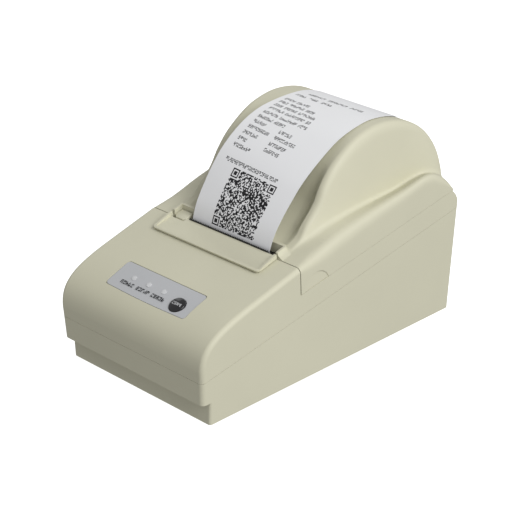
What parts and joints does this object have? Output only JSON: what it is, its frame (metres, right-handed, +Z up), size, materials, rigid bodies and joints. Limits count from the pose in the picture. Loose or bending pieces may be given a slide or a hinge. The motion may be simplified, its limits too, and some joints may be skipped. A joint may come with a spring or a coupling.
{
  "type": "receipt printer",
  "caption": "Desktop thermal receipt printer with a wedge-shaped case, hinged domed paper lid, tear plate, feed button and a printed paper strip over the lid.",
  "frame": {"origin": "middle of the footprint, on the surface that the rubber feet rest on", "axes": "+X to the printer's right seen from the front, +Y from the front edge to the hinge at the rear, +Z up"},
  "size_m": [0.1128, 0.1912, 0.1191],
  "materials": {
    "shell_plastic": "fine satin texture, ivory beige",
    "label_film": "satin printed film, pale grey",
    "black_plastic": "semi-gloss, moulded",
    "lens_plastic": "clear, frosted at the end",
    "black_rubber": "matt",
    "plated_steel": "bright zinc plating",
    "heatsink_aluminium": "bare, milled",
    "head_ceramic": "glazed",
    "white_nylon": "moulded",
    "tray_plastic": "moulded",
    "circuit_board": "solder mask",
    "thermal_paper": "smooth coated paper",
    "core_board": "wound board",
    "flex_film": "amber film"
  },
  "bodies": {
    "root": {"base_shell": "shell_plastic", "top_case": "shell_plastic", "control_label": "label_film", "led_lens_left": "lens_plastic", "led_lens_middle": "lens_plastic", "led_lens_right": "lens_plastic", "feed_switch": "black_plastic", "panel_board": "circuit_board", "tear_plate": "shell_plastic", "tear_blade": "plated_steel", "hinge_pin": "plated_steel", "gear_axle": "plated_steel", "mechanism_frame": "plated_steel", "stepper_motor": "plated_steel", "paper_guide": "tray_plastic", "paper_sensor": "black_plastic", "head_pivot_pin": "plated_steel", "head_spring_left": "plated_steel", "head_spring_right": "plated_steel", "paper_bucket": "tray_plastic", "main_board": "circuit_board", "main_chip": "black_plastic", "capacitor": "black_plastic", "head_connector": "white_nylon", "dc_inlet": "black_plastic", "usb_socket": "plated_steel", "drawer_socket": "plated_steel", "head_flex_cable": "flex_film", "switch_body": "black_plastic", "foot_front_left": "black_rubber", "foot_front_right": "black_rubber", "foot_rear_left": "black_rubber", "foot_rear_right": "black_rubber", "case_screw_front_left": "plated_steel", "case_screw_front_right": "plated_steel", "case_screw_rear_left": "plated_steel", "case_screw_rear_right": "plated_steel", "board_screw_left": "plated_steel", "board_screw_right": "plated_steel", "frame_screw_left": "plated_steel", "frame_screw_right": "plated_steel"},
    "lid": {"paper_lid": "shell_plastic", "gear_hood": "shell_plastic", "platen_bracket": "plated_steel", "platen_bush_left": "white_nylon", "platen_bush_right": "white_nylon", "receipt_strip": "thermal_paper"},
    "platen": {"platen_roller": "black_rubber", "platen_shaft": "plated_steel", "platen_gear": "white_nylon"},
    "reduction": {"reduction_gear": "white_nylon"},
    "rotor": {"motor_pinion": "plated_steel", "motor_shaft": "plated_steel"},
    "roll": {"paper_roll": "thermal_paper", "roll_core": "core_board"},
    "head": {"head_plate": "heatsink_aluminium", "thermal_head": "head_ceramic"},
    "button": {"feed_button": "black_plastic"},
    "rocker": {"power_rocker": "black_plastic"}
  },
  "joints": [
    {"name": "lid_hinge", "type": "hinge", "parent": "root", "child": "lid", "pos_m": [0, 0.09173, 0.076], "axis": [-1, 0, 0], "range_deg": [0, 95]},
    {"name": "roll_spin", "type": "hinge", "parent": "root", "child": "roll", "pos_m": [0.0037, 0.05123, 0.062], "axis": [1, 0, 0], "continuous": true},
    {"name": "platen_spin", "type": "hinge", "parent": "lid", "child": "platen", "pos_m": [0.0037, -0.01977, 0.058], "axis": [1, 0, 0], "continuous": true},
    {"name": "reduction_spin", "type": "hinge", "parent": "root", "child": "reduction", "pos_m": [-0.034, -0.01935, 0.04716], "axis": [1, 0, 0], "continuous": true},
    {"name": "motor_spin", "type": "hinge", "parent": "root", "child": "rotor", "pos_m": [-0.032, -0.00677, 0.043], "axis": [1, 0, 0], "continuous": true},
    {"name": "head_rock", "type": "hinge", "parent": "root", "child": "head", "pos_m": [0.0037, -0.02717, 0.043], "axis": [1, 0, 0], "range_deg": [0, 3], "stiffness_Nm_per_rad": 1, "springref_deg": -2.86},
    {"name": "button_press", "type": "slide", "parent": "root", "child": "button", "axis": [0, 0.454, -0.891], "range_m": [0, 0.001], "stiffness_N_per_m": 400, "springref_m": -0.0005},
    {"name": "rocker_tilt", "type": "hinge", "parent": "root", "child": "rocker", "pos_m": [0.033, 0.09063, 0.031], "axis": [0, 0, 1], "range_deg": [0, 18]}
  ],
  "couplings": [
    {"joint": "platen_spin", "follows": "roll_spin", "ratio": 5.4545},
    {"joint": "reduction_spin", "follows": "roll_spin", "ratio": -8.5714},
    {"joint": "motor_spin", "follows": "roll_spin", "ratio": 22.857}
  ]
}
